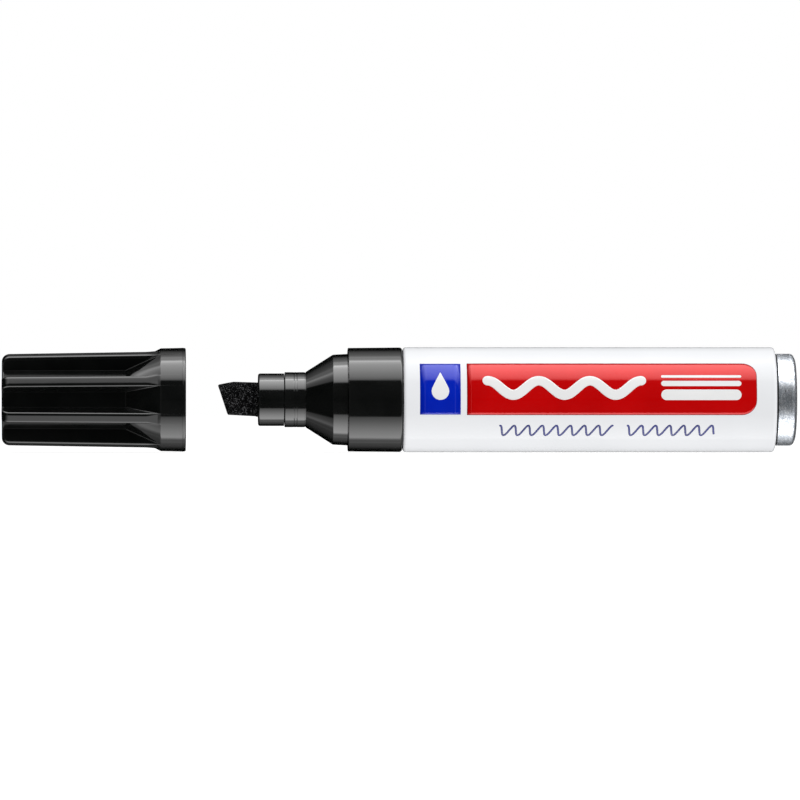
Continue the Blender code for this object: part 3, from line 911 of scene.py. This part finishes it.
def make_cap(look, groove_shade_look):
    """The ribbed cap: rings whose groove floor and rib height change along the cap, then the bore."""
    front = -CAP_LENGTH
    floor_stations, floor_at = height_along([
        (front, CORE_RADIUS - 0.1, 0),
        (RAMP_FRONT, CORE_RADIUS, 0.3),
        (RIM_FRONT, RIM_RADIUS - 0.08, 0.5),
        (0, RIM_RADIUS, 0),
    ])
    rib_stations, rib_at = height_along([
        (front, RIB_FRONT_RADIUS, 0),
        (RIM_FRONT - RIB_CHAMFER, RIB_REAR_RADIUS, 0.3),
        (RIM_FRONT, RIM_RADIUS - 0.04, 0.5),
        (0, RIM_RADIUS, 0),
    ])
    stations = [front + CAP_END_EDGE * (1 - math.cos(turn)) for turn in np.linspace(0, math.pi / 2, 13)]
    stations += floor_stations + rib_stations + list(np.arange(RAMP_FRONT, RIM_FRONT, 0.45))
    rings = []
    for station in sorted(set(np.round(stations, 2))):
        if station >= BEAD_FRONT:
            break
        depth = station - front
        radius = rib_at(station) - rounded_end(depth, CAP_END_EDGE)
        floor = min(floor_at(station) - rounded_end(depth, CORE_END_EDGE), radius - 0.01)
        floor_bend = np.clip((station - RAMP_FRONT) / (RAMP_ROUND_AT - RAMP_FRONT), 0, 1)
        top_bend = np.clip((station - RIM_FRONT + RIB_CHAMFER) / RIB_CHAMFER, 0, 1)
        ring, angles = cap_ring(RIM_X, station, floor, radius, floor_bend, top_bend)
        rings.append(ring)
    mouth = outline(cap_mouth(), False, longest=8.0, support=0.03, steps=3)
    bore = [circle(RIM_X, point.x, point.y, angles) for point in mouth]
    piece = solid("cap_moulding", cap_end(rings[0]) + rings + bore)
    settle(piece, "cap", "cap_shell", "cap_plastic", look, groove_shade_look)
    shade_grooves(piece, floor_at, rib_at)
    return piece


def make_inner_cap(look):
    """The thin cup inside the cap, closed towards the cap's closed end."""
    inside = CUP_RADIUS - CUP_WALL
    corners = [
        (CUP_FRONT + CUP_WALL, 0.01, 0),
        (CUP_FRONT + CUP_WALL, inside, 0.3),
        (CUP_REAR, inside, 0.12),
        (CUP_REAR, CUP_RADIUS, 0.12),
        (CUP_FRONT, CUP_RADIUS, 0.3),
        (CUP_FRONT, 0.01, 0),
    ]
    piece = turned("inner_cap_cup", RIM_X, corners, closed=False)
    return settle(piece, "inner_cap", "inner_cap", "soft_plastic", look)


# ---------------------------------------------------------------- stage, light and camera


# What a glossy surface sees round the marker's axis, as (degrees, brightness): 0 is level with the
# camera, 90 straight up and -90 straight down.
LOWER_SOFTBOX = [
    (-150, 0.0), (-141, 0.02), (-133, 0.14), (-121, 0.43), (-113.5, 0.62), (-111.5, 1.0), (-104, 0.9),
    (-98, 1.9), (-95.5, 3.7), (-91.5, 4.5), (-76, 4.1), (-65, 3.4), (-50, 2.1), (-39.5, 1.25), (-37.5, 0.05),
]
GAP_BETWEEN = [(0, 0.02), (42.8, 0.05)]
UPPER_SOFTBOX = [
    (45.9, 2.2), (52, 3.4), (72, 5.3), (85, 6.1), (92, 7.2), (95, 9.2), (98.5, 5.2), (101, 3.1),
    (109, 2.8), (114.5, 1.3), (121, 0.8), (133, 0.3), (142, 0.02), (155, 0.0),
]
BRIGHTEST = 9.2

# How the softboxes fade towards their ends, as (slope along the axis, share): the cap's side, then
# the barrel's side.
FADE_TO_CAP = [
    (0.45, 1.0), (0.6, 0.7), (0.75, 0.5), (0.9, 0.41), (1.0, 0.34), (1.2, 0.16), (1.45, 0.11), (1.55, 0.0),
]
FADE_TO_BARREL = [(0.8, 1.0), (1.2, 0.6), (1.8, 0.3), (2.4, 0.05)]
STEEPEST = 3.0

# The narrow strip at each end: its reach along the axis, its lowest and highest angle, its brightness.
STRIP_FROM, STRIP_TO = 0.45, 0.6
STRIP_LOW, STRIP_HIGH = math.radians(-36), math.radians(44)
STRIP_LEVEL = 0.5

# The light on matt surfaces: its level from the sides, what straight up and straight down add, the
# difference between the two, and how much of it is missing at the cap's end.
EVEN_LEVEL, EVEN_ABOVE_BELOW, EVEN_UPWARDS = 0.82, 0.545, -0.005
CAP_END_LOSS = 0.6
EVEN_SCALE = 0.873


class WorldTree(Nodes):
    """The world's node tree."""

    def __init__(self, world):
        world.use_nodes = True
        super().__init__(world.node_tree)
        self.tree.nodes.clear()

    def ramp(self, value, stops):
        """A curve through the stops (0 to 1, level)."""
        made = self.node("ShaderNodeValToRGB")
        self.link(value, made.inputs["Fac"])
        elements = made.color_ramp.elements
        elements.remove(elements[1])
        for index, (position, level) in enumerate(stops):
            element = elements[0] if index == 0 else elements.new(position)
            element.position = position
            element.color = (level, level, level, 1)
        return made.outputs["Color"]

    def within(self, value, low, high):
        """1 where the value lies between low and high, else 0."""
        above = self.maths("GREATER_THAN", value, low)
        return self.maths("MULTIPLY", above, self.maths("LESS_THAN", value, high))

    def background(self, strength):
        made = self.node("ShaderNodeBackground")
        made.inputs["Color"].default_value = (1, 1, 1, 1)
        self.link(strength, made.inputs["Strength"])
        return made.outputs[0]

    def choose(self, share, first, second):
        """The first shader where share is 0, the second where it is 1."""
        made = self.node("ShaderNodeMixShader")
        for value, socket in zip((share, first, second), made.inputs):
            self.link(value, socket)
        return made.outputs[0]


def softboxes(tree, along, back, up):
    """The two long softboxes above and below, and a narrow strip at each end on the camera's side."""
    turn = tree.maths("ARCTAN2", up, tree.maths("MULTIPLY", back, -1.0))
    around = tree.maths("ADD", tree.maths("DIVIDE", turn, 2 * math.pi), 0.5)
    stops = LOWER_SOFTBOX + GAP_BETWEEN + UPPER_SOFTBOX
    boxes = tree.ramp(around, [(degrees / 360 + 0.5, level / BRIGHTEST) for degrees, level in stops])
    boxes = tree.maths("MULTIPLY", boxes, BRIGHTEST)
    level = tree.maths("MAXIMUM", tree.maths("ABSOLUTE", up), 0.001)
    slope = tree.maths("DIVIDE", tree.maths("ABSOLUTE", along), level)
    slope = tree.maths("DIVIDE", slope, STEEPEST)
    to_cap = tree.ramp(slope, [(value / STEEPEST, share) for value, share in FADE_TO_CAP])
    to_barrel = tree.ramp(slope, [(value / STEEPEST, share) for value, share in FADE_TO_BARREL])
    on_cap_side = tree.maths("LESS_THAN", along, 0.0)
    on_barrel_side = tree.maths("SUBTRACT", 1.0, on_cap_side)
    cap_fade = tree.maths("MULTIPLY", on_cap_side, to_cap)
    fade = tree.maths("ADD", cap_fade, tree.maths("MULTIPLY", on_barrel_side, to_barrel))
    at_ends = tree.within(tree.maths("ABSOLUTE", along), STRIP_FROM, STRIP_TO)
    strip = tree.maths("MULTIPLY", at_ends, tree.within(turn, STRIP_LOW, STRIP_HIGH))
    strip = tree.maths("MULTIPLY", strip, STRIP_LEVEL)
    return tree.maths("ADD", tree.maths("MULTIPLY", boxes, fade), strip)


def make_world():
    """White to the camera, an even glow for matt surfaces, and softboxes for glossy ones."""
    world = bpy.data.worlds.new("studio")
    bpy.context.scene.world = world
    world.cycles.sampling_method = "NONE"
    tree = WorldTree(world)
    direction = tree.node("ShaderNodeTexCoord").outputs["Generated"]
    apart = tree.node("ShaderNodeSeparateXYZ")
    tree.link(direction, apart.inputs["Vector"])
    along, back, up = (apart.outputs[axis] for axis in "XYZ")
    steep = tree.maths("MULTIPLY", tree.maths("MULTIPLY", up, up), EVEN_ABOVE_BELOW)
    steep = tree.maths("ADD", steep, tree.maths("MULTIPLY", up, EVEN_UPWARDS))
    from_cap = tree.maths("MULTIPLY", tree.maths("MINIMUM", along, 0.0), CAP_END_LOSS)
    share = tree.maths("DIVIDE", tree.maths("ADD", from_cap, 1.0), EVEN_SCALE)
    even = tree.maths("MULTIPLY", tree.maths("ADD", steep, EVEN_LEVEL), share)
    rays = tree.node("ShaderNodeLightPath")
    glossy = tree.background(softboxes(tree, along, back, up))
    lit = tree.choose(rays.outputs["Is Glossy Ray"], tree.background(even), glossy)
    seen = tree.choose(rays.outputs["Is Camera Ray"], lit, tree.background(1.0))
    tree.link(seen, tree.node("ShaderNodeOutputWorld").inputs["Surface"])


def make_floor():
    """A white sweep that takes only a trace of the marker's shadow."""
    bpy.ops.mesh.primitive_plane_add(size=8, location=(0, 0, 0))
    floor = bpy.context.object
    floor.name = "floor"
    look = Look("pale_floor", Roughness=0.9, Specular_IOR_Level=0.0, Emission_Strength=0.75)
    look.shader.inputs["Emission Color"].default_value = (1, 1, 1, 1)
    tone = look.mix(look.noise(look.scaled(1, 1, 1), 3, 2), (0.3, 0.3, 0.3), (0.31, 0.31, 0.31))
    floor.data.materials.append(look.feed(Base_Color=tone))
    floor.visible_glossy = False
    floor.visible_diffuse = False
    floor.visible_shadow = False


def make_lamp():
    """One big soft lamp overhead, which gives the floor its shadow."""
    data = bpy.data.lights.new("overhead", "AREA")
    data.shape = "RECTANGLE"
    data.size, data.size_y = 0.9, 0.6
    data.energy = 1.2
    lamp = bpy.data.objects.new("overhead", data)
    lamp.location = (-0.15, -0.25, 0.8)
    lamp.rotation_euler = (Vector((0, 0, 0)) - lamp.location).to_track_quat("-Z", "Y").to_euler()
    lamp.visible_glossy = False
    bpy.context.scene.collection.objects.link(lamp)


def make_camera():
    """A long lens, level with the axis, that stands off to the cap's side and looks at the middle."""
    distance, view_width = 1.81, 0.16
    camera_station, target_station, target_drop = -43.7, 10.46, 0.06
    data = bpy.data.cameras.new("camera")
    data.sensor_width = 36
    data.lens = data.sensor_width * distance / view_width
    data.clip_end = 50
    camera = bpy.data.objects.new("camera", data)
    target = Vector((COLLAR_X + target_station * MM, 0, AXIS_Z - target_drop * MM))
    camera.location = (COLLAR_X + camera_station * MM, -distance, target.z)
    camera.rotation_euler = (target - camera.location).to_track_quat("-Z", "Y").to_euler()
    bpy.context.scene.collection.objects.link(camera)
    bpy.context.scene.camera = camera


def finish_hidden_nodes():
    """The CAD nodes inside the barrel keep their meshes and get finishes of their own."""
    hidden = (
        ("ink_reservoir", "inked_fibre", (0.01, 0.01, 0.012), (0.05, 0.05, 0.055), 0.8, 1500),
        ("reservoir_film", "film", (0.6, 0.61, 0.63), (0.72, 0.73, 0.75), 0.15, 300),
        ("barrel_seal", "seal_rubber", (0.4, 0.39, 0.36), (0.5, 0.49, 0.46), 0.6, 900),
    )
    for node, *finish in hidden:
        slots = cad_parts[node].data.materials
        slots.clear()
        slots.append(inner_material(*finish))


def main():
    """Builds the stage and then the pieces, from the barrel to the cap."""
    bpy.context.scene.view_settings.view_transform = "Standard"
    make_camera()
    make_floor()
    make_world()
    make_lamp()
    # The third material paints the shade in the seam at the shoulder's foot.
    make_barrel(white_lacquer(), bare_aluminium(), seam_painted_shade())
    make_print(
        printed_ink("red_ink", (0.58, 0.0015, 0.002), (0.52, 0.001, 0.0015), 0.11),
        printed_ink("dark_red_ink", (0.22, 0.004, 0.006), (0.18, 0.003, 0.005)),
        printed_ink("blue_ink", (0.001, 0.018, 0.47), (0.001, 0.014, 0.41), 0.05),
        printed_ink("navy_ink", (0.004, 0.012, 0.2), (0.003, 0.01, 0.15)),
        printed_ink("white_ink", (0.83, 0.83, 0.83), (0.79, 0.79, 0.79)),
    )
    make_front_section(black_plastic("section_black", 0.055, 260, 0.64))
    make_collar(black_plastic("collar_black", 0.045, 200))
    make_nib_sleeve(black_plastic("sleeve_black", 0.08, 400, 0.62))
    make_felt_nib(inked_felt())
    # The grooves get a copy of the cap's black with little gloss: painted shade where the ribs block the
    # light.
    make_cap(black_plastic("cap_black", 0.05, 220), black_plastic("groove_shade_black", 0.12, 220, 0.07))
    make_inner_cap(soft_polyethylene())
    finish_hidden_nodes()


main()
